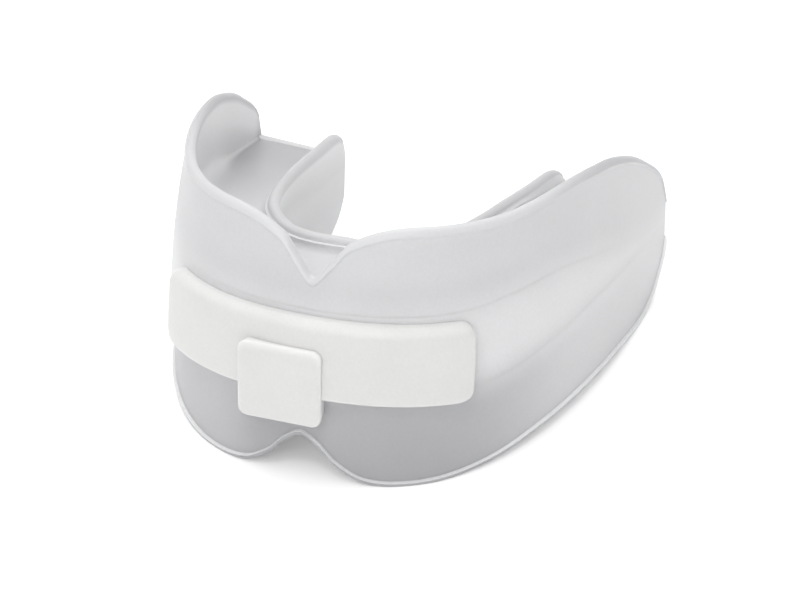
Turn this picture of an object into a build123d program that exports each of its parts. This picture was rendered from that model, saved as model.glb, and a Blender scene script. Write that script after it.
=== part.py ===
"""Double-arch mouthguard: two soft trays, one for each row of teeth, joined by a bite wedge.

Everything is drawn in the arch frame: X to the wearer's side, Y from the lips to the molars,
Z up, with the bite level and the front of the upper tray's wall at Y = 0. At the end the
pieces are turned into the standing frame, in which the guard rests on its lower rim.
"""
import os

from build123d import *

# Overall size of the arch
HALF_WIDTH = 31.0
DEPTH = 54.0
TOP = 23.0
BOTTOM = -17.0
BEYOND = 8.0

# Half of each arch in plan, as the control points of one curve from the front to the molars
LABIAL_ARCH = [(0, 0), (17.4, 0), (31.9, 9.0), (HALF_WIDTH, DEPTH)]
LINGUAL_ARCH = [(0, 14.0), (13.0, 13.4), (13.0, 15.6), (15.4, DEPTH)]

# Each outer wall leans in as it leaves the bite, as (at the front, at the sides), and the whole
# arch leans back with height
LABIAL_LEAN_UP = (0.09, 0.08)
LABIAL_LEAN_DOWN = (0.07, 0.07)
BACK_LEAN = 0.063

WALL = 2.0
FLOOR = 1.0

# Top and foot of the bite wedge seen from the side, as (distance from the front, height)
BEHIND = DEPTH + BEYOND
WEDGE_TOP = [(-BEYOND, 8.8), (0, 9.0), (7, 9.4), (13, 10.4), (20, 10.9), (28, 9.9), (45, 6.6), (BEHIND, 5.0)]
WEDGE_FOOT = [(-BEYOND, -1.8), (0, -1.4), (7.5, -0.8), (17, 1.7), (27, 3.9), (37, 4.6), (BEHIND, 3.9)]

# Back ends of the arms in plan: how far back each arm reaches outside and at the middle line
BACK_OUTSIDE = 55.0
BACK_MIDDLE = 50.0

# Rims seen from the side, as (distance from the front, height)
LABIAL_RIM = [(-BEYOND, 19.4), (3, 20.0), (12, 20.2), (26, 21.0), (34, 20.5), (42, 18.4), (49, 14.9)]
LABIAL_TIP = [(52.8, 12.2), (54.6, 9.4), (55.2, 6.0), (55.2, 2.0)]
LINGUAL_RIM = [(-BEYOND, 12.4), (12, 12.4), (18, 14.2), (30, 13.5), (42, 12.2), (48.6, 11.5)]
LINGUAL_TIP = [(51.4, 10.2), (52.6, 7.4), (52.6, 2.0)]
LOWER_RIM = [(-BEYOND, -14.9), (2, -14.4), (9, -12.6), (17, -10.3), (26, -8.7), (36, -7.6), (45, -7.2)]
LOWER_TIP = [(49.6, -5.4), (52.4, -1.6), (53.6, 4.8)]
LOWER_LINGUAL_RIM = [(-BEYOND, -8.2), (12, -8.2), (18, -8.0), (32, -6.0), (44, -3.6)]
LOWER_LINGUAL_TIP = [(49.0, -1.8), (51.4, 0.6), (52.2, 4.8)]

# Notches for the lip folds at the front, half of each in the front view
UPPER_NOTCH = [(0, 12.2), (2.2, 14.8), (4.6, 17.8), (9.0, 19.6), (14.0, 21.0)]
LOWER_NOTCH = [(0, -8.2), (2.2, -9.5), (4.6, -12.0), (8.0, -14.0), (12.5, -15.4)]

# Band across the front, and the square tab on it
BAND_LOW = -2.1
BAND_HIGH = 8.3
BAND_PROUD = 1.8
BAND_HALF_SPAN = 19.6
BAND_CORNER = 1.2
BAND_REACH = 10.0
TAB_WIDTH = 10.9
TAB_LOW = -5.2
TAB_HIGH = 5.4
TAB_PROUD = 3.5
TAB_CORNER = 1.0
TAB_RADIUS = 0.9
TAB_OFFSET = -2.3


# Extents of the cutting shapes
ACROSS = HALF_WIDTH + WALL
CEILING = TOP + 1.0
CELLAR = BOTTOM - 1.0
CUT_MARGIN = 0.5
NOTCH_DEPTH = 8.0

# Standing frame: the pitch of the bite when the guard rests on its lower rim, the depth of
# the resting flats under the front of the bite, and the middle of the guard's length
PITCH = 9.5
STAND_DEPTH = 14.2
STAND_CENTRE = 25.60


def arch_section(arch, inset, height, lean=(0.0, 0.0)):
    """Filled plan outline of an arch, set in by inset and closed beyond the molars."""
    half_width, depth = arch[-1]
    front = arch[0][1]
    lean_front, lean_side = lean
    wide = (half_width - inset - lean_side * abs(height)) / half_width
    deep = (depth - front - inset - lean_front * abs(height)) / (depth - front)
    right = [(x * wide, depth - (depth - y) * deep + BACK_LEAN * height) for x, y in arch]
    left = [(-x, y) for x, y in right]
    with BuildSketch(Plane.XY.offset(height)) as section:
        with BuildLine():
            Bezier(*right)
            Bezier(*left)
            Polyline(right[-1], (right[-1][0], DEPTH + BEYOND), (left[-1][0], DEPTH + BEYOND), left[-1])
        make_face()
    return section.sketch


def labial_sections(inset):
    """Plan outlines of the outer wall at its foot, at the bite and at its top."""
    return [
        arch_section(LABIAL_ARCH, inset, BOTTOM, LABIAL_LEAN_DOWN),
        arch_section(LABIAL_ARCH, inset, 0),
        arch_section(LABIAL_ARCH, inset, TOP, LABIAL_LEAN_UP),
    ]


def lingual_sections(inset):
    """Plan outlines of the tongue space at its foot and at its top, open at the back."""
    return [arch_section(LINGUAL_ARCH, inset, height) for height in (BOTTOM, 0, TOP)]


def raised(profile, amount):
    """The same side profile at another height."""
    return [(y, z + amount) for y, z in profile]


def side_outline(profile, base):
    """Side view of everything between a profile, drawn from front to back, and a level base."""
    with BuildSketch(Plane.YZ) as outline:
        with BuildLine():
            Spline(*profile)
            Polyline(profile[-1], (profile[-1][0], base), (profile[0][0], base), profile[0])
        make_face()
    return outline.sketch


def plan_limit():
    """Plan view of everything in front of the slanted back ends of the two arms."""
    side = HALF_WIDTH + WALL
    with BuildSketch(Plane.XY.offset(BOTTOM)) as outline:
        with BuildLine():
            Polyline((0, BACK_MIDDLE), (side, BACK_OUTSIDE), (side, -BEYOND), (-side, -BEYOND))
            Polyline((-side, -BEYOND), (-side, BACK_OUTSIDE), (0, BACK_MIDDLE))
        make_face()
    return outline.sketch


def front_notch(flank, base):
    """Front view of a notch with the same flank on each side, open at the base height."""
    mirrored = [(-x, z) for x, z in reversed(flank)]
    with BuildSketch(Plane.XZ) as outline:
        with BuildLine():
            Spline(*mirrored[:-1], *flank)
            Polyline(flank[-1], (flank[-1][0], base), (-flank[-1][0], base), mirrored[0])
        make_face()
    return outline.sketch


# The surface that the guard stands on, with its origin under the middle of the guard
level = Plane(origin=(0, 0, 0), x_dir=(1, 0, 0), z_dir=Vector(0, 0, 1).rotate(Axis.X, PITCH))
stand_point = level.from_local_coords((0, STAND_CENTRE, -STAND_DEPTH))
standing = Plane(stand_point, x_dir=(1, 0, 0), z_dir=level.z_dir)

# The arch as one solid block, from which the trays and the wedge are cut
with BuildPart() as arch_block:
    loft(sections=labial_sections(0), ruled=True)
    loft(sections=lingual_sections(0), ruled=True, mode=Mode.SUBTRACT)
    extrude(plan_limit(), TOP - BOTTOM, mode=Mode.INTERSECT)

# The channel that the teeth sit in, between the two walls
with BuildPart() as channel:
    loft(sections=labial_sections(WALL), ruled=True)
    loft(sections=lingual_sections(-WALL), ruled=True, mode=Mode.SUBTRACT)

with BuildPart() as upper_channel:
    add(channel.part)
    extrude(side_outline(raised(WEDGE_TOP, FLOOR), CEILING), ACROSS, both=True, mode=Mode.INTERSECT)

with BuildPart() as lower_channel:
    add(channel.part)
    extrude(side_outline(raised(WEDGE_FOOT, -FLOOR), CELLAR), ACROSS, both=True, mode=Mode.INTERSECT)

# What the lingual walls, which are lower than the labial ones, leave free above and below
with BuildPart() as above_lingual_wall:
    loft(sections=lingual_sections(-WALL - CUT_MARGIN), ruled=True)
    extrude(side_outline(LINGUAL_RIM + LINGUAL_TIP, BOTTOM), ACROSS, both=True, mode=Mode.SUBTRACT)

with BuildPart() as below_lingual_wall:
    loft(sections=lingual_sections(-WALL - CUT_MARGIN), ruled=True)
    extrude(side_outline(LOWER_LINGUAL_RIM + LOWER_LINGUAL_TIP, TOP), ACROSS, both=True, mode=Mode.SUBTRACT)

# Upper tray: the two walls and the floor that the upper teeth bite on
with BuildPart() as upper_tray:
    add(arch_block.part)
    extrude(side_outline(WEDGE_TOP, CEILING), ACROSS, both=True, mode=Mode.INTERSECT)
    add(upper_channel.part, mode=Mode.SUBTRACT)
    extrude(side_outline(LABIAL_RIM + LABIAL_TIP, BOTTOM), ACROSS, both=True, mode=Mode.INTERSECT)
    add(above_lingual_wall.part, mode=Mode.SUBTRACT)
    extrude(front_notch(UPPER_NOTCH, TOP), NOTCH_DEPTH, both=True, mode=Mode.SUBTRACT)
upper_tray.part.label = "upper_tray"

# Lower tray: the same on the lower side, with small flats where its rim touches the table
with BuildPart() as lower_tray:
    add(arch_block.part)
    extrude(side_outline(WEDGE_FOOT, CELLAR), ACROSS, both=True, mode=Mode.INTERSECT)
    add(lower_channel.part, mode=Mode.SUBTRACT)
    extrude(side_outline(LOWER_RIM + LOWER_TIP, TOP), ACROSS, both=True, mode=Mode.INTERSECT)
    add(below_lingual_wall.part, mode=Mode.SUBTRACT)
    extrude(front_notch(LOWER_NOTCH, BOTTOM), NOTCH_DEPTH, both=True, mode=Mode.SUBTRACT)
    split(bisect_by=standing, keep=Keep.TOP)
lower_tray.part.label = "lower_tray"

# Bite wedge: the thick cushion between the trays, which thins towards the molars
with BuildPart() as bite_wedge:
    add(arch_block.part)
    extrude(side_outline(WEDGE_TOP, CELLAR), ACROSS, both=True, mode=Mode.INTERSECT)
    extrude(side_outline(WEDGE_FOOT, CEILING), ACROSS, both=True, mode=Mode.INTERSECT)
bite_wedge.part.label = "bite_wedge"

# Front band: a raised strip that hugs the outer wall from one canine to the other
with BuildPart() as front_band:
    with BuildSketch(Plane.XZ):
        with Locations((0, (BAND_LOW + BAND_HIGH) / 2)):
            RectangleRounded(2 * BAND_HALF_SPAN, BAND_HIGH - BAND_LOW, BAND_CORNER)
    extrude(amount=BAND_REACH, both=True)
    loft(sections=labial_sections(-BAND_PROUD), ruled=True, mode=Mode.INTERSECT)
    loft(sections=labial_sections(0), ruled=True, mode=Mode.SUBTRACT)
front_band.part.label = "front_band"

# Centre tab: a square pad that stands out from the band
with BuildPart() as centre_tab:
    with BuildSketch(Plane.XZ):
        with Locations((TAB_OFFSET, (TAB_LOW + TAB_HIGH) / 2)):
            RectangleRounded(TAB_WIDTH, TAB_HIGH - TAB_LOW, TAB_CORNER)
    extrude(amount=TAB_PROUD)
    fillet(centre_tab.faces().sort_by(Axis.Y)[0].edges(), TAB_RADIUS)
    loft(sections=labial_sections(0), ruled=True, mode=Mode.SUBTRACT)
    add(front_band.part, mode=Mode.SUBTRACT)
centre_tab.part.label = "centre_tab"

# Stand the guard on its lower rim and write each piece
os.makedirs("parts", exist_ok=True)
for piece in (upper_tray, lower_tray, bite_wedge, front_band, centre_tab):
    placed = standing.to_local_coords(piece.part)
    placed.label = piece.part.label
    export_step(placed, f"parts/{placed.label}.step")
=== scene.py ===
"""Looks of a double-arch mouthguard: two soft translucent trays, the bite wedge between them,
a raised white band across the front and a tab on it.

Shapes are drawn in the arch frame, in millimetres: X to the side, Y from the lips to the
molars, Z up, with the bite level. place() turns them into the standing frame, in metres.
"""

from collections import namedtuple
from math import cos, pi, radians, sin, sqrt

import bmesh
import bpy
from mathutils import Matrix, Vector


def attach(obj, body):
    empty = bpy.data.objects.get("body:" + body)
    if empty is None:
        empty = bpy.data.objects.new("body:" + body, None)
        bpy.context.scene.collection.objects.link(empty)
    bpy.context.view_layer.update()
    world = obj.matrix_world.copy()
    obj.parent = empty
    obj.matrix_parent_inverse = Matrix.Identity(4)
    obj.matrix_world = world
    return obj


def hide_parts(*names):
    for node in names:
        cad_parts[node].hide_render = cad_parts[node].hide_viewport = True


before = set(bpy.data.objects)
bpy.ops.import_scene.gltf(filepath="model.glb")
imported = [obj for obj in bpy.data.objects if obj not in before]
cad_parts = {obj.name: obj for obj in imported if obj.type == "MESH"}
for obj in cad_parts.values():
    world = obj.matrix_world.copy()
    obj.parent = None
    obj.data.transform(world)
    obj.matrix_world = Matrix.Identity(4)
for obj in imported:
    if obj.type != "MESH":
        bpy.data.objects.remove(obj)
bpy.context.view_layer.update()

# Arch in plan: half of each curve, as the control points of one Bezier curve
LABIAL_ARCH = [(0, 0), (17.4, 0), (31.9, 9.0), (31.0, 54.2)]
LINGUAL_ARCH = [(0, 14.0), (13.0, 13.4), (13.0, 15.6), (15.4, 52.0)]

# The upper wall curls in towards its rim, the lower wall leans in a little, and the whole arch
# leans back with height
CURL_UP = 0.0045
LEAN_DOWN = 0.07
BACK_LEAN = 0.063

# Side profiles, as (distance from the front, height)
WEDGE_TOP = [(-8, 8.8), (0, 9.0), (7, 9.4), (13, 10.4), (20, 10.9), (28, 9.9), (45, 6.6), (62, 5.0)]
WEDGE_FOOT = [(-8, -1.8), (0, -1.4), (7.5, -0.8), (17, 1.7), (27, 3.9), (37, 4.6), (62, 3.9)]
LABIAL_RIM = [(-8, 19.4), (3, 20.0), (12, 20.2), (26, 21.1), (34, 20.5), (42, 18.4), (49, 14.9),
              (52.6, 12.5), (54.2, 10.4), (54.9, 8.0)]
LINGUAL_RIM = [(-8, 12.4), (12, 12.4), (18, 14.2), (30, 13.5), (42, 12.2), (48.6, 11.5),
               (51.2, 10.4), (52.5, 8.0)]
LOWER_RIM = [(-8, -14.9), (2, -14.4), (9, -12.6), (17, -10.3), (26, -8.7), (36, -7.6), (45, -7.2),
             (49.6, -5.4), (52.4, -1.6), (54.0, 2.4)]
LOWER_LINGUAL_RIM = [(-8, -8.2), (12, -8.2), (18, -8.0), (32, -6.0), (44, -3.6), (49.0, -1.8),
                     (51.4, 0.6), (52.2, 2.4)]

# Heights at which a section's distance from the front is read for those profiles
TOP_SEAM = 9
FOOT_SEAM = 0
LABIAL_LEVEL = 21.1
LINGUAL_LEVEL = 12.4
LOWER_LEVEL = -10.3
LOWER_LINGUAL_LEVEL = -8.2

# Notches for the lip folds: half of each in the front view, as (distance from its middle, height)
UPPER_NOTCH = [(-2.2, 15.1), (0, 13.0), (2.2, 15.1), (4.6, 17.8), (9.0, 19.6), (14.0, 21.0)]
LOWER_NOTCH = [(-2.2, -9.6), (0, -8.4), (2.2, -9.6), (4.6, -12.0), (8.0, -14.0), (12.5, -15.4)]
UPPER_NOTCH_AT = 0.5
LOWER_NOTCH_AT = -0.4
NOTCH_BLEND = 0.9

# Walls of the trays. They change over MOLAR_OVER of the arch, from MOLAR_FROM on, to the END values
WALL = 2.0
END_WALL = 1.2
RIM_WALL = 1.3
END_RIM_WALL = 1.7
LINGUAL_RIM_WALL = 1.7
MOLAR_FROM = 0.8
MOLAR_OVER = 0.15
FLOOR = 1.0
CHANNEL_FILLET = 2.6
END_FILLET = 0.52
RIM_ROUND = 0.75
LEAST_RIM = 0.3
LEAST_LINGUAL_RIM = 0.25

# The lip under each labial rim: how it swells from the wall, as shares of its own height
UPPER_LIP_PROUD = 0.18
UPPER_LIP_HEIGHT = 1.1
LOWER_LIP_PROUD = 0.42
LOWER_LIP_HEIGHT = 1.0
LIP_ABOVE_SEAM = 0.4
LIP_STEPS = (0.3, 0.6, 0.85)
LIP_SWELL = 0.7
LIP_TOP = 0.9

# The share of the room it has that a round or a fillet may take where a wall gets low
LIP_ROOM = 0.7
RIM_ROOM = 0.8
LINGUAL_ROOM = 0.6
FILLET_ROOM = 0.9

# Points round a tray's section, region by region, and of a wedge's
OUTSIDE_POINTS = 14
LIP_POINTS = len(LIP_STEPS) + 1
RIM_POINTS = 11
WALL_POINTS = 7
FILLET_POINTS = 6
FLOOR_POINTS = 7
LINGUAL_WALL_POINTS = 6
LINGUAL_RIM_POINTS = 8
LINGUAL_FACE_POINTS = 7
SEAM_POINTS = 6
WEDGE_SIDE_POINTS = 14
WEDGE_SEAM_POINTS = 10

# Points round the band's section
BAND_FOOT_POINTS = 7
BAND_FACE_POINTS = 6
BAND_TOP_POINTS = 11
BAND_TOP_LEDGE_POINTS = 3
BAND_BACK_POINTS = 8
BAND_FOOT_LEDGE_POINTS = 5

# Sections along the arch: how many on each side of the front, and how much closer together they
# are at the front and at the ends
HALF_SECTIONS = 110
BUNCHING = 0.1
BAND_SECTIONS = 81

# Rounded ends: the radius at the molars, the number of shrinking loops, the share of the radius by
# which the last of them is shrunk, and the least gap along the arch before the first
END_ROUND = 0.3
END_LOOPS = 7
END_SHRINK = 0.98
END_GAP = 0.002

# Edges that turn by more than this look sharp
SHARP_FROM = radians(50)

# How milky the moulding looks. The wedge is the deepest. The upper tray is even. The lower one is
# painted darker, as shade from the hollow behind it, and that painted shade fades from a set distance
# behind the front and left of the middle
SEAM_BLEND = 3.5
WEDGE_THICKNESS = 0.84
UPPER_THICKNESS = 0.56
MOLAR_LESS_SHADE = 0.6
MOLAR_LESS_SHADE_FROM = 2
MOLAR_LESS_SHADE_OVER = 22
LEFT_LESS_SHADE = 0.28
LEFT_LESS_SHADE_FROM = 5
LEFT_LESS_SHADE_OVER = 8

# Painted light and shade round a section, for each region: its number of points, and the (front, back)
# values at its first and at its last point, lighter above 0 and darker below. Front turns into back
# behind the lips, from and over the distances below. The upper tray has painted light on the inner
# faces of its walls and the front of its tongue side, and painted shade on its rims and channel floor,
# most of all at the back; the lower tray has a painted highlight on its lip and a line of painted
# shade where its rim starts
UPPER_PAINTED_LIGHT = [
    (OUTSIDE_POINTS + LIP_POINTS, (0, 0), (0, 0)),
    (RIM_POINTS, (0.05, -0.35), (0.05, -0.35)),
    (WALL_POINTS, (0.4, 0.75), (0.4, 0.75)),
    (FILLET_POINTS, (0.3, 0.5), (0, -0.35)),
    (FLOOR_POINTS, (-0.05, -0.45), (-0.05, -0.45)),
    (FILLET_POINTS, (0, -0.4), (0.2, 0.2)),
    (LINGUAL_WALL_POINTS, (0.2, 0.3), (0.2, 0.3)),
    (LINGUAL_RIM_POINTS, (-0.05, -0.15), (-0.05, -0.15)),
    (LINGUAL_FACE_POINTS, (0.4, 0.4), (0, 0)),
    (SEAM_POINTS, (0, 0), (0, 0)),
]
TRAY_POINTS = sum(count for count, *_ in UPPER_PAINTED_LIGHT)
SHADE_LINE_POINTS = 4
LOWER_PAINTED_LIGHT = [
    (OUTSIDE_POINTS, (0, 0), (0, 0)),
    (LIP_POINTS - 1, (0.8, 0.8), (0.8, 0.8)),
    (1, (0.2, 0.2), (0.2, 0.2)),
    (SHADE_LINE_POINTS, (-0.2, -0.2), (-0.2, -0.2)),
    (TRAY_POINTS - OUTSIDE_POINTS - LIP_POINTS - SHADE_LINE_POINTS, (0, 0), (0, 0)),
]
PAINTED_LIGHT_FROM = 14
PAINTED_LIGHT_OVER = 24

# Band across the front, and the tab on it
BAND_LOW = -2.1
BAND_HIGH = 8.3
BAND_PROUD = 1.8
BAND_LEFT = 20.7
BAND_RIGHT = 19.6
BAND_TOP_ROUND = 1.5
BAND_FOOT_ROUND = 0.6
BAND_CORNER = 1.4
BAND_BURIED = 0.3
TAB_CENTRE = (-2.5, -0.55)
TAB_SIZE = (11.2, 10.4)
TAB_FRONT = -2.5
TAB_BACK = 0.8
TAB_TAPER = 0.5
TAB_ROUND = 0.7
TAB_TOP_ROUND = 2.2
TAB_CORNER = 1.2
TAB_CAP = 0.3
TAB_CORNER_POINTS = 7
TAB_SIDE_LOOPS = 4
TAB_ROUND_LOOPS = 9

# Colours and finish of the soft plastic. Its first two colours are those where it is thin and deep,
# and painted shade pulls it towards the thin one and painted light towards the deep one
THIN_AND_SHADE = (0.465, 0.465, 0.48)
DEEP_AND_LIT = (0.78, 0.78, 0.788)
BAND_WHITE = (0.575, 0.575, 0.566)
# Painted highlight on the band's rounded edges, also the painted light on the tab's sides, and the
# share of that highlight at the band's top
BAND_PAINTED_HIGHLIGHT = (0.69, 0.69, 0.685)
BAND_TOP_HIGHLIGHT_SHARE = 0.5
TRAY_ROUGHNESS = 0.42
BAND_ROUGHNESS = 0.36
ROUGHNESS_DRIFT = 0.05
TRAY_CLEAR = 0.35
DEEP_CLEAR = 0.55
PLASTIC_IOR = 1.45
SCATTER = 0.5
SCATTER_DEPTH = 0.0005
CLOUD_SCALE = 130
CLOUD_DETAIL = 3
GRAIN_SCALE = 2600
GRAIN_DETAIL = 2
GRAIN_SHARE = 0.5
NOISE_RANGE = (0.3, 0.7)
CLOUDING = 0.035
BUMP_STRENGTH = 0.2
BUMP_DEPTH = 0.00006

# Floor and sky
FLOOR_HALF = 2
FLOOR_TONES = (0.86, 0.92)
FLOOR_GRAIN = 40
FLOOR_ROUGHNESS = 0.8
FLOOR_GLOW = 0.14
HORIZON = 0.5
ZENITH = 1.15
SKY_HEIGHT = 0.7

# Camera: its direction in the arch frame, its distance from AIM_AT, its roll, and how far beside
# AIM_AT it aims
AZIMUTH = 0.366
ELEVATION = 0.448
ROLL = 0.014
DISTANCE = 370.6
AIM_AT = (0, 25, 0)
AIM_OFFSET = (3.10, -0.43)
LENS = 126.3
SENSOR = 36
NEAREST = 0.01

# Standing frame: the arch frame pitched about X, set down on the floor and centred
PITCH = radians(9.5)
STAND_DEPTH = 14.2
STAND_CENTRE = 25.6
MM = 0.001


def place(point):
    """From the arch frame in millimetres to the standing frame in metres."""
    x, y, z = point
    return Vector((
        x,
        y * cos(PITCH) + z * sin(PITCH) - STAND_CENTRE,
        -y * sin(PITCH) + z * cos(PITCH) + STAND_DEPTH,
    )) * MM


def bezier(points, t):
    """Point and unit outward normal of a cubic curve in plan."""
    a, b, c, d = (Vector(p) for p in points)
    s = 1 - t
    point = a * s**3 + b * 3 * s * s * t + c * 3 * s * t * t + d * t**3
    along = (b - a) * s * s + (c - b) * 2 * s * t + (d - c) * t * t
    return point, Vector((along.y, -along.x)).normalized()


def profile(points, y):
    """Height of a smooth side profile at y: a monotone cubic through its points."""
    if y <= points[0][0]:
        return points[0][1]
    if y >= points[-1][0]:
        return points[-1][1]
    i = max(k for k in range(len(points) - 1) if points[k][0] <= y)
    slopes = [(points[k + 1][1] - points[k][1]) / (points[k + 1][0] - points[k][0])
              for k in range(len(points) - 1)]

    def tangent(k):
        if k == 0 or k == len(points) - 1:
            return slopes[0 if k == 0 else -1]
        before, after = slopes[k - 1], slopes[k]
        return 0 if before * after <= 0 else 2 * before * after / (before + after)

    (y0, z0), (y1, z1) = points[i], points[i + 1]
    step = y1 - y0
    f = (y - y0) / step
    return (z0 * (1 + 2 * f) * (1 - f) ** 2 + z1 * f * f * (3 - 2 * f)
            + step * tangent(i) * f * (1 - f) ** 2 - step * tangent(i + 1) * f * f * (1 - f))


def soft_min(a, b, blend):
    """The smaller of two heights, with the corner between them rounded."""
    h = max(0.0, min(1.0, 0.5 + 0.5 * (b - a) / blend))
    return b * (1 - h) + a * h - blend * h * (1 - h)


class Station:
    """One cross-section plane of the arch; u runs from -1 at one molar end to 1 at the other."""

    def __init__(self, u):
        self.side = -1 if u < 0 else 1
        self.u = abs(u)
        self.labial, self.outward = bezier(LABIAL_ARCH, self.u)
        self.lingual, _ = bezier(LINGUAL_ARCH, self.u)

    def outer(self, z):
        """Outer face of the labial wall at height z, in plan."""
        return self.labial - self.outward * (CURL_UP * z * z if z > 0 else -LEAN_DOWN * z)

    def width(self, z):
        """Distance across the section, from the outer face to the lingual one."""
        return (self.lingual - self.outer(z)).length

    def at(self, across, z):
        """Point of the arch frame at a distance in from the outer face and a height."""
        face = self.outer(z)
        inward = (self.lingual - face).normalized()
        plan = face + inward * across
        return Vector((self.side * plan.x, plan.y + BACK_LEAN * z, z))

    def from_lingual(self, depth, z):
        """Point of the arch frame at a depth in from the lingual face and a height."""
        return self.at(self.width(z) - depth, z)

    def labial_y(self, z):
        """Distance of the outer face from the front at height z."""
        return self.outer(z).y + BACK_LEAN * z

    def lingual_y(self, z):
        """Distance of the lingual face from the front at height z."""
        return self.lingual.y + BACK_LEAN * z


def spread(count, start=0.0, end=1.0):
    """Evenly spaced numbers from start to end, both included."""
    return [start + (end - start) * k / max(1, count - 1) for k in range(count)]


def mix(start, end, f):
    """The number a share f of the way from start to end."""
    return start + (end - start) * f


def ease(f):
    """0 below 0, 1 above 1, and a smooth step between them."""
    f = max(0.0, min(1.0, f))
    return f * f * (3 - 2 * f)


def arc_fillet(distance, radius):
    """Height of a fillet above the floor at a distance from the wall that it runs into."""
    if distance >= radius:
        return 0.0
    return radius - sqrt(max(0.0, radius**2 - (radius - distance) ** 2))


# A tray: way is 1 where it stands up from its seam, and -1 where it hangs down. The three levels
# are the heights at which a section's distance from the front is read for the seam and the rims
Tray = namedtuple("Tray", "way seam seam_level labial_rim rim_level notch notch_at lingual_rim"
                          " lingual_level lip_proud lip_height")


def tray_heights(station, tray):
    """Heights of the labial rim, lingual rim and both ends of the seam, along the tray's way."""
    way = tray.way
    foot = way * profile(tray.seam, station.labial_y(tray.seam_level))
    ling_foot = way * profile(tray.seam, station.lingual_y(tray.seam_level))
    rim = way * profile(tray.labial_rim, station.labial_y(tray.rim_level))
    from_notch = abs(station.side * station.labial.x - tray.notch_at)
    if from_notch < tray.notch[-1][0]:
        rim = soft_min(rim, way * profile(tray.notch, from_notch), NOTCH_BLEND)
    ling = way * profile(tray.lingual_rim, station.lingual_y(tray.lingual_level))
    rim = max(rim, foot + FLOOR + LEAST_RIM)
    ling = max(ling, ling_foot + FLOOR + LEAST_LINGUAL_RIM)
    return rim, ling, foot, ling_foot


def tray_section(station, tray):
    """Closed cross-section of a tray. Heights in here grow from its seam to its rims, whether the
    tray stands up or hangs down, and the tray's way turns them into Z."""
    way = tray.way
    rim, ling, foot, ling_foot = tray_heights(station, tray)
    floor, ling_floor = foot + FLOOR, ling_foot + FLOOR
    end = ease((station.u - MOLAR_FROM) / MOLAR_OVER)
    wall = mix(WALL, END_WALL, end)
    rim_wall = mix(RIM_WALL, END_RIM_WALL, end)
    points = []

    def labial(depth, h):
        points.append(station.at(depth, way * h))

    def lingual(depth, h):
        points.append(station.from_lingual(depth, way * h))

    # Outside face, up to the small lip under the rim
    lip_foot = max(foot + LIP_ABOVE_SEAM, rim - tray.lip_height)
    round_up = min(RIM_ROUND, (rim - lip_foot) * LIP_ROOM, (rim - floor) * RIM_ROOM)
    top_of_lip = rim - round_up
    lip = top_of_lip - lip_foot
    for h in spread(OUTSIDE_POINTS, foot, lip_foot):
        labial(0, h)
    for f in LIP_STEPS:
        labial(-tray.lip_proud * (0.5 - 0.5 * cos(pi * f)), lip_foot + lip * f * LIP_SWELL)
    labial(-tray.lip_proud, lip_foot + lip * LIP_TOP)

    # Rim
    half = (rim_wall + tray.lip_proud) / 2
    middle = (rim_wall - tray.lip_proud) / 2
    for f in spread(RIM_POINTS):
        labial(middle - half * cos(pi * f), top_of_lip + round_up * sin(pi * f))

    # Channel: inside of the labial wall, the floor with a fillet at each side, the lingual wall
    fillet = min(mix(CHANNEL_FILLET, END_FILLET, end), (top_of_lip - floor) * FILLET_ROOM)
    ling_round = min(RIM_ROUND, (ling - ling_floor) * LINGUAL_ROOM)
    ling_top = ling - ling_round
    ling_fillet = min(CHANNEL_FILLET, (ling_top - ling_floor) * FILLET_ROOM)
    for f in spread(WALL_POINTS + 1)[1:]:
        labial(mix(rim_wall, wall, f), mix(top_of_lip, floor + fillet, f))
    span = station.width(way * floor) - wall - WALL
    steps = [1 - cos(pi / 2 * f) for f in spread(FILLET_POINTS + 1)[1:]]
    places = [fillet * step for step in steps]
    places += spread(FLOOR_POINTS + 2, fillet, span - ling_fillet)[1:-1]
    places += [span - ling_fillet * step for step in reversed(steps)]
    for across in places:
        rise = arc_fillet(across, fillet) + arc_fillet(span - across, ling_fillet)
        y = station.at(wall + across, way * floor).y
        labial(wall + across, way * profile(tray.seam, y) + FLOOR + rise)
    for f in spread(LINGUAL_WALL_POINTS):
        lingual(mix(WALL, LINGUAL_RIM_WALL, f), mix(ling_floor + ling_fillet, ling_top, f))

    # Lingual rim, and the face towards the tongue
    ling_half = LINGUAL_RIM_WALL / 2
    for f in spread(LINGUAL_RIM_POINTS + 1)[1:]:
        lingual(ling_half + ling_half * cos(pi * f), ling_top + ling_round * sin(pi * f))
    for h in spread(LINGUAL_FACE_POINTS + 1, ling_top, ling_foot)[1:]:
        lingual(0, h)

    # Seam against the wedge
    for f in spread(SEAM_POINTS + 2)[1:-1]:
        across = station.width(tray.seam_level) * (1 - f)
        y = station.at(across, tray.seam_level).y
        labial(across, way * profile(tray.seam, y))
    return points


def wedge_section(station):
    """Closed cross-section of the bite wedge."""
    foot = profile(WEDGE_FOOT, station.labial_y(FOOT_SEAM))
    top = profile(WEDGE_TOP, station.labial_y(TOP_SEAM))
    ling_foot = profile(WEDGE_FOOT, station.lingual_y(FOOT_SEAM))
    ling_top = profile(WEDGE_TOP, station.lingual_y(TOP_SEAM))
    seam = spread(WEDGE_SEAM_POINTS + 2)[1:-1]
    points = [station.at(0, h) for h in spread(WEDGE_SIDE_POINTS, foot, top)]
    for f in seam:
        across = station.width(TOP_SEAM) * f
        points.append(station.at(across, profile(WEDGE_TOP, station.at(across, TOP_SEAM).y)))
    points += [station.from_lingual(0, h) for h in spread(WEDGE_SIDE_POINTS, ling_top, ling_foot)]
    for f in seam:
        across = station.width(FOOT_SEAM) * (1 - f)
        points.append(station.at(across, profile(WEDGE_FOOT, station.at(across, FOOT_SEAM).y)))
    return points


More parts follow.
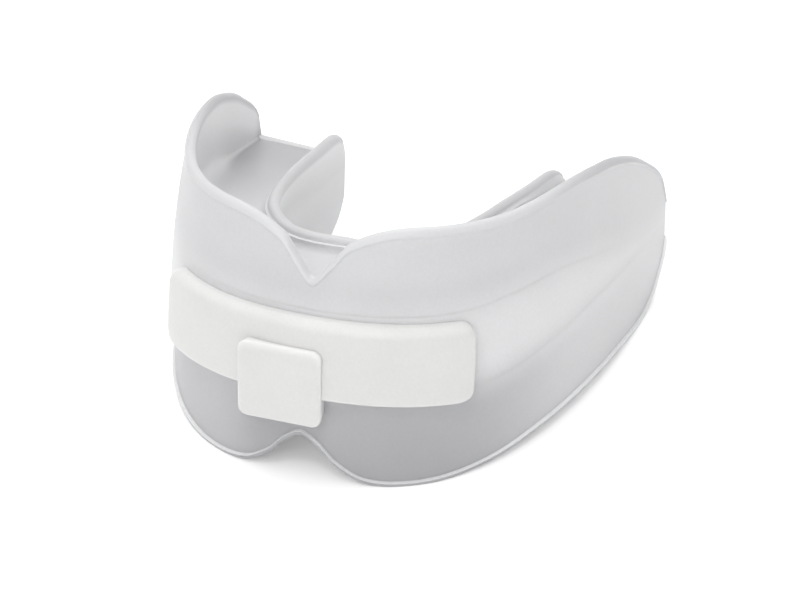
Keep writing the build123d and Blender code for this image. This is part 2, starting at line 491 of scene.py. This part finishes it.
def band_section(station):
    """Closed cross-section of the front band, with its back just inside the wall."""
    back = BAND_BURIED
    span = BAND_LEFT if station.side < 0 else BAND_RIGHT
    from_end = max(0.0, span - station.labial.x)
    corner = arc_fillet(from_end, BAND_CORNER)
    foot, top = BAND_LOW + corner, BAND_HIGH - corner
    points = []
    for f in spread(BAND_FOOT_POINTS):
        angle = pi / 2 * f
        h = foot + BAND_FOOT_ROUND * (1 - cos(angle))
        points.append(station.at(BAND_FOOT_ROUND * (1 - sin(angle)) - BAND_PROUD, h))
    low, high = foot + BAND_FOOT_ROUND, top - BAND_TOP_ROUND
    for h in spread(BAND_FACE_POINTS + 2, low, high)[1:-1]:
        points.append(station.at(-BAND_PROUD, h))
    for f in spread(BAND_TOP_POINTS):
        angle = pi / 2 * f
        h = high + BAND_TOP_ROUND * sin(angle)
        points.append(station.at(BAND_TOP_ROUND * (1 - cos(angle)) - BAND_PROUD, h))
    for depth in spread(BAND_TOP_LEDGE_POINTS + 1, BAND_TOP_ROUND - BAND_PROUD, back)[1:]:
        points.append(station.at(depth, top))
    for h in spread(BAND_BACK_POINTS + 2, top, foot)[1:-1]:
        points.append(station.at(back, h))
    for depth in spread(BAND_FOOT_LEDGE_POINTS + 1, back, BAND_FOOT_ROUND - BAND_PROUD)[:-1]:
        points.append(station.at(depth, foot))
    return points


def milk_and_painted_shade_at(point):
    """How milky the moulding looks at a point, by the depth of the material there, and by painted
    shade on the lower tray.
    """
    x, y, z = point
    top, foot = profile(WEDGE_TOP, y), profile(WEDGE_FOOT, y)
    in_wedge = ease(0.5 + min(top - z, z - foot) / (2 * SEAM_BLEND))
    # Painted shade darkens the lower tray, less so towards the molars and on the left side
    molar_less_shade = MOLAR_LESS_SHADE * ease((y - MOLAR_LESS_SHADE_FROM) / MOLAR_LESS_SHADE_OVER)
    left = LEFT_LESS_SHADE * ease((-LEFT_LESS_SHADE_FROM - x) / LEFT_LESS_SHADE_OVER)
    lower = max(molar_less_shade, left)
    tray_milk_and_shade = mix(lower, UPPER_THICKNESS, ease((z - foot) / (top - foot)))
    return mix(tray_milk_and_shade, WEDGE_THICKNESS, in_wedge)


def painted_light_of(regions):
    """The (front, back) painted light and shade of each point round a section, from its regions."""
    painted_light = []
    for count, (front, back), (last_front, last_back) in regions:
        painted_light += zip(spread(count, front, last_front), spread(count, back, last_back))
    return painted_light


def shrink(points, amount, seam):
    """Moves a closed loop of points inwards, in its own plane, apart from those along a seam."""
    count = len(points)
    normal = Vector((0, 0, 0))
    for k in range(count):
        normal += points[k].cross(points[(k + 1) % count])
    normal.normalize()
    moved = []
    for k in range(count):
        before = k if (k - 1) % count in seam else (k - 1) % count
        after = k if (k + 1) % count in seam else (k + 1) % count
        along = (points[after] - points[before]).normalized()
        moved.append(points[k] if k in seam else points[k] + normal.cross(along) * amount)
    return moved


def loft(name, sections, material, painted_light=None, depth=milk_and_painted_shade_at):
    """A closed mesh through closed loops of points, capped flat at both ends.

    depth says how milky a point looks, along with any light or shade painted into it, and the list of
    (front, back) values paints each point round a loop lighter or darker at the front and at the back,
    as painted light and shade. Nothing reaches below the floor.
    """
    mesh = bpy.data.meshes.new(name)
    build = bmesh.new()
    milk_and_painted_light = build.verts.layers.float.new("milk_and_painted_light")

    def new_vert(point, painted):
        spot = place(point)
        spot.z = max(0.0, spot.z)
        vert = build.verts.new(spot)
        front, back = painted
        # Milkiness plus the painted light and shade, turning from its front to its back value
        vert[milk_and_painted_light] = depth(point) + mix(front, back, ease((point.y - PAINTED_LIGHT_FROM) / PAINTED_LIGHT_OVER))
        return vert

    painted_light = painted_light or [(0, 0)] * len(sections[0])
    loops = [[new_vert(*pair) for pair in zip(section, painted_light)] for section in sections]
    for a, b in zip(loops, loops[1:]):
        for k in range(len(a)):
            m = (k + 1) % len(a)
            build.faces.new((a[k], a[m], b[m], b[k]))
    caps = [build.faces.new(loops[0]), build.faces.new(loops[-1])]
    flat = set(bmesh.ops.triangulate(build, faces=caps, ngon_method="EAR_CLIP")["faces"])
    bmesh.ops.recalc_face_normals(build, faces=build.faces)
    for face in build.faces:
        face.smooth = face not in flat
    for edge in build.edges:
        edge.smooth = edge.calc_face_angle(0) < SHARP_FROM
    build.to_mesh(mesh)
    build.free()
    piece = bpy.data.objects.new(name, mesh)
    bpy.context.scene.collection.objects.link(piece)
    mesh.materials.append(material)
    return piece


def stations():
    """Places along the arch, closer together at the front notch and at both ends."""
    right = [f - BUNCHING * sin(2 * pi * f) / pi for f in spread(HALF_SECTIONS)]
    return [-u for u in reversed(right[1:])] + right


def end_loops(section_of, places, radius, seam=()):
    """Sections along the arch, with both ends rounded off by shrinking the last few loops."""
    tiny = 0.01
    loops, limits = [], []
    for end, sign in ((places[0], -1), (places[-1], 1)):
        per_unit = (Station(end).labial - Station(end - sign * tiny).labial).length / tiny
        rounded = []
        for f in spread(END_LOOPS):
            angle = pi / 2 * f
            section = section_of(Station(end - sign * radius * (1 - sin(angle)) / per_unit))
            rounded.append(shrink(section, radius * (1 - cos(angle)) * END_SHRINK, seam))
        loops.append(rounded)
        limits.append(end - sign * (radius / per_unit + END_GAP))
    middle = [section_of(Station(u)) for u in places if limits[0] < u < limits[1]]
    return list(reversed(loops[0])) + middle + loops[1]


# ---- materials -------------------------------------------------------------------------


def new_material(name):
    """An empty node material with its Principled shader."""
    material = bpy.data.materials.new(name)
    material.use_nodes = True
    nodes = material.node_tree.nodes
    return material, nodes, material.node_tree.links, nodes["Principled BSDF"]


def new_node(nodes, kind, values):
    """A new node of a material, with values for its input sockets."""
    node = nodes.new(kind)
    for socket, value in values.items():
        node.inputs[socket].default_value = value
    return node


def soft_plastic(name, thin_and_shade, deep_and_lit, roughness, clear):
    """Milky moulded elastomer, coloured from its thin colour to its deep one as a piece's milkiness,
    with the light and shade painted into it, goes from 0 to 1.
    """
    material, nodes, links, shader = new_material(name)
    coordinates = nodes.new("ShaderNodeTexCoord")
    clouds = new_node(nodes, "ShaderNodeTexNoise", {"Scale": CLOUD_SCALE, "Detail": CLOUD_DETAIL})
    grain = new_node(nodes, "ShaderNodeTexNoise", {"Scale": GRAIN_SCALE, "Detail": GRAIN_DETAIL})
    links.new(coordinates.outputs["Object"], clouds.inputs["Vector"])
    links.new(coordinates.outputs["Object"], grain.inputs["Vector"])

    # Deeper material is whiter, painted light whitens it and painted shade darkens it, with faint
    # clouding and grain over the whole piece
    depth = nodes.new("ShaderNodeAttribute")
    depth.attribute_name = "milk_and_painted_light"
    body = nodes.new("ShaderNodeMix")
    body.data_type = "RGBA"
    body.inputs["A"].default_value = (*thin_and_shade, 1)
    body.inputs["B"].default_value = (*deep_and_lit, 1)
    links.new(depth.outputs["Fac"], body.inputs["Factor"])
    mottle = new_node(nodes, "ShaderNodeMix", {"Factor": GRAIN_SHARE})
    links.new(clouds.outputs["Fac"], mottle.inputs["A"])
    links.new(grain.outputs["Fac"], mottle.inputs["B"])
    low, high = NOISE_RANGE
    shade = new_node(nodes, "ShaderNodeMapRange", {
        "From Min": low, "From Max": high, "To Min": 1 - CLOUDING, "To Max": 1 + CLOUDING})
    links.new(mottle.outputs["Result"], shade.inputs["Value"])
    tint = nodes.new("ShaderNodeVectorMath")
    tint.operation = "SCALE"
    links.new(body.outputs["Result"], tint.inputs[0])
    links.new(shade.outputs["Result"], tint.inputs["Scale"])
    links.new(tint.outputs["Vector"], shader.inputs["Base Color"])

    # Frosted skin: fine grain, and a gloss that drifts with the clouding
    bump = new_node(nodes, "ShaderNodeBump", {"Strength": BUMP_STRENGTH, "Distance": BUMP_DEPTH})
    links.new(grain.outputs["Fac"], bump.inputs["Height"])
    links.new(bump.outputs["Normal"], shader.inputs["Normal"])
    rough = new_node(nodes, "ShaderNodeMapRange", {
        "To Min": roughness - ROUGHNESS_DRIFT, "To Max": roughness + ROUGHNESS_DRIFT})
    links.new(clouds.outputs["Fac"], rough.inputs["Value"])
    links.new(rough.outputs["Result"], shader.inputs["Roughness"])
    shader.inputs["Subsurface Weight"].default_value = SCATTER
    shader.inputs["Subsurface Radius"].default_value = (1.0, 1.0, 1.0)
    shader.inputs["Subsurface Scale"].default_value = SCATTER_DEPTH
    shader.inputs["IOR"].default_value = PLASTIC_IOR

    # A clear plastic lets less light through where it is deep
    if clear:
        see_through = new_node(nodes, "ShaderNodeMapRange", {
            "To Min": clear, "To Max": clear * DEEP_CLEAR})
        links.new(depth.outputs["Fac"], see_through.inputs["Value"])
        links.new(see_through.outputs["Result"], shader.inputs["Transmission Weight"])
    return material


tray_material = soft_plastic("tray_soft_clear", THIN_AND_SHADE, DEEP_AND_LIT, TRAY_ROUGHNESS, TRAY_CLEAR)
wedge_material = soft_plastic("wedge_milky", THIN_AND_SHADE, DEEP_AND_LIT, TRAY_ROUGHNESS, TRAY_CLEAR)
band_material = soft_plastic("band_white", BAND_WHITE, BAND_PAINTED_HIGHLIGHT, BAND_ROUGHNESS, 0.0)


# ---- pieces ----------------------------------------------------------------------------


def finish_piece(piece, node):
    """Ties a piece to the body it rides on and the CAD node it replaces."""
    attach(piece, "root")
    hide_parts(node)


ALONG = stations()
UPPER = Tray(1, WEDGE_TOP, TOP_SEAM, LABIAL_RIM, LABIAL_LEVEL, UPPER_NOTCH, UPPER_NOTCH_AT,
             LINGUAL_RIM, LINGUAL_LEVEL, UPPER_LIP_PROUD, UPPER_LIP_HEIGHT)
LOWER = Tray(-1, WEDGE_FOOT, FOOT_SEAM, LOWER_RIM, LOWER_LEVEL, LOWER_NOTCH, LOWER_NOTCH_AT,
             LOWER_LINGUAL_RIM, LOWER_LINGUAL_LEVEL, LOWER_LIP_PROUD, LOWER_LIP_HEIGHT)

# Which points of a section lie on a seam
TRAY_SEAM = range(TRAY_POINTS - SEAM_POINTS, TRAY_POINTS)
WEDGE_HALF = WEDGE_SIDE_POINTS + WEDGE_SEAM_POINTS
WEDGE_SEAMS = [k for k in range(2 * WEDGE_HALF) if k % WEDGE_HALF >= WEDGE_SIDE_POINTS]


def make_tray(name, tray, painted_light):
    """The mesh of a whole tray."""
    def section(station):
        return tray_section(station, tray)

    return loft(name, end_loops(section, ALONG, END_ROUND, TRAY_SEAM), tray_material, painted_light_of(painted_light))


upper = make_tray("upper_tray_soft", UPPER, UPPER_PAINTED_LIGHT)
finish_piece(upper, "upper_tray")

lower = make_tray("lower_tray_soft", LOWER, LOWER_PAINTED_LIGHT)
finish_piece(lower, "lower_tray")

wedge_loops = end_loops(wedge_section, ALONG, END_ROUND, WEDGE_SEAMS)
wedge = loft("bite_wedge_soft", wedge_loops, wedge_material)
finish_piece(wedge, "bite_wedge")


def reach_of(x):
    """Place along the arch where the outer wall is x from the middle, found by halving."""
    low, high = 0.0, 0.9
    for _ in range(40):
        half = (low + high) / 2
        if bezier(LABIAL_ARCH, half)[0].x < x:
            low = half
        else:
            high = half
    return low


def band_painted_highlight(point):
    """How much painted highlight a point of the band gets on its rounded edges: all of it at the foot,
    a share of it at the top.
    """
    foot = ease((BAND_LOW + BAND_FOOT_ROUND - point.z) / BAND_FOOT_ROUND)
    top = ease((point.z - BAND_HIGH + BAND_TOP_ROUND) / BAND_TOP_ROUND)
    return max(foot, BAND_TOP_HIGHLIGHT_SHARE * top)


band_places = spread(BAND_SECTIONS, -reach_of(BAND_LEFT), reach_of(BAND_RIGHT))
band_loops = end_loops(band_section, band_places, BAND_FOOT_ROUND)
band = loft("front_band_soft", band_loops, band_material, depth=band_painted_highlight)
finish_piece(band, "front_band")


def tab_loop(inset, top_inset, y):
    """Rounded rectangle at distance y from the front, set in on every side and more at the top."""
    middle, level = TAB_CENTRE
    width, height = TAB_SIZE
    left, right = middle - width / 2 + inset, middle + width / 2 - inset
    foot, top = level - height / 2 + inset, level + height / 2 - top_inset
    corner = TAB_CORNER
    centres = [(right - corner, top - corner), (left + corner, top - corner),
               (left + corner, foot + corner), (right - corner, foot + corner)]
    points = []
    for quarter, (x, z) in enumerate(centres):
        for f in spread(TAB_CORNER_POINTS):
            angle = pi / 2 * (quarter + f)
            points.append(Vector((x + corner * cos(angle), y, z + corner * sin(angle))))
    return points


def tab_loops():
    """The tab from its buried back to its front face, which rolls off gently at the top. The last
    loop, TAB_CAP further in, keeps the flat of the face away from the roll-off."""
    side = TAB_FRONT + TAB_ROUND
    loops = []
    for f in spread(TAB_SIDE_LOOPS + 1)[:-1]:
        loops.append(tab_loop(TAB_TAPER * (1 - f), 0, mix(TAB_BACK, side, f)))
    for f in spread(TAB_ROUND_LOOPS):
        angle = pi / 2 * f
        y = TAB_FRONT + TAB_ROUND * (1 - sin(angle))
        loops.append(tab_loop(TAB_ROUND * (1 - cos(angle)), TAB_TOP_ROUND * (1 - cos(angle)), y))
    loops.append(tab_loop(TAB_ROUND + TAB_CAP, TAB_TOP_ROUND + TAB_CAP, TAB_FRONT))
    return loops


def tab_painted_light(point):
    """Painted light on the tab: all of it on the sides, where it paints out their shade and paints a
    highlight on the rounded edges, and none on its front face.
    """
    return ease((point.y - TAB_FRONT) / TAB_ROUND)


tab = loft("centre_tab_soft", tab_loops(), band_material, depth=tab_painted_light)
finish_piece(tab, "centre_tab")

# ---- stage, light and camera -----------------------------------------------------------

corners = [(-FLOOR_HALF, -FLOOR_HALF, 0), (FLOOR_HALF, -FLOOR_HALF, 0),
           (FLOOR_HALF, FLOOR_HALF, 0), (-FLOOR_HALF, FLOOR_HALF, 0)]
floor_mesh = bpy.data.meshes.new("floor")
floor_mesh.from_pydata(corners, [], [(0, 1, 2, 3)])
floor = bpy.data.objects.new("floor", floor_mesh)
bpy.context.scene.collection.objects.link(floor)
floor_material, floor_nodes, floor_links, floor_shader = new_material("floor_pale")
floor_shader.inputs["Roughness"].default_value = FLOOR_ROUGHNESS
floor_shader.inputs["Emission Color"].default_value = (1, 1, 1, 1)
floor_shader.inputs["Emission Strength"].default_value = FLOOR_GLOW
floor_grain = new_node(floor_nodes, "ShaderNodeTexNoise", {"Scale": FLOOR_GRAIN})
floor_tone = new_node(floor_nodes, "ShaderNodeMapRange", {
    "To Min": FLOOR_TONES[0], "To Max": FLOOR_TONES[1]})
floor_links.new(floor_grain.outputs["Fac"], floor_tone.inputs["Value"])
floor_links.new(floor_tone.outputs["Result"], floor_shader.inputs["Base Color"])
floor_mesh.materials.append(floor_material)


def area_light(name, position, size, power):
    """A round soft light at a position, aimed at the middle of the guard's foot."""
    data = bpy.data.lights.new(name, "AREA")
    data.shape = "DISK"
    data.size = size
    data.energy = power
    light = bpy.data.objects.new(name, data)
    bpy.context.scene.collection.objects.link(light)
    light.location = position
    light.rotation_euler = (-Vector(position)).to_track_quat("-Z", "Y").to_euler()


area_light("key", position=(-0.15, 0.35, 0.65), size=0.5, power=1.9)
area_light("fill", position=(0.05, -0.5, 0.35), size=0.4, power=0.8)
area_light("rims", position=(0.05, -0.3, 0.6), size=0.1, power=0.45)

world = bpy.data.worlds.new("studio")
bpy.context.scene.world = world
world.use_nodes = True
sky_nodes, sky_links = world.node_tree.nodes, world.node_tree.links
sky_nodes["Background"].inputs["Color"].default_value = (1, 1, 1, 1)
direction = sky_nodes.new("ShaderNodeTexCoord")
height = sky_nodes.new("ShaderNodeSeparateXYZ")
sky = new_node(sky_nodes, "ShaderNodeMapRange", {
    "From Max": SKY_HEIGHT, "To Min": HORIZON, "To Max": ZENITH})
sky_links.new(direction.outputs["Generated"], height.inputs["Vector"])
sky_links.new(height.outputs["Z"], sky.inputs["Value"])
sky_links.new(sky.outputs["Result"], sky_nodes["Background"].inputs["Strength"])
bpy.context.scene.view_settings.view_transform = "Standard"


def add_camera():
    """The camera, from its direction and distance in the arch frame."""
    toward = Vector((sin(AZIMUTH) * cos(ELEVATION), -cos(AZIMUTH) * cos(ELEVATION), sin(ELEVATION)))
    right = Vector((cos(AZIMUTH), sin(AZIMUTH), 0))
    up = toward.cross(right)
    spun_right = right * cos(ROLL) + up * sin(ROLL)
    spun_up = up * cos(ROLL) - right * sin(ROLL)
    centre = Vector(AIM_AT)
    eye = place(centre + toward * DISTANCE)
    aim = place(centre + spun_right * AIM_OFFSET[0] + spun_up * AIM_OFFSET[1])
    back = (eye - aim).normalized()
    top = (place(centre + spun_up) - place(centre)).normalized()
    side = top.cross(back).normalized()
    top = back.cross(side)
    data = bpy.data.cameras.new("camera")
    data.lens = LENS
    data.sensor_width = SENSOR
    data.clip_start = NEAREST
    camera = bpy.data.objects.new("camera", data)
    bpy.context.scene.collection.objects.link(camera)
    camera.matrix_world = Matrix((
        (side.x, top.x, back.x, eye.x),
        (side.y, top.y, back.y, eye.y),
        (side.z, top.z, back.z, eye.z),
        (0, 0, 0, 1),
    ))
    bpy.context.scene.camera = camera


add_camera()
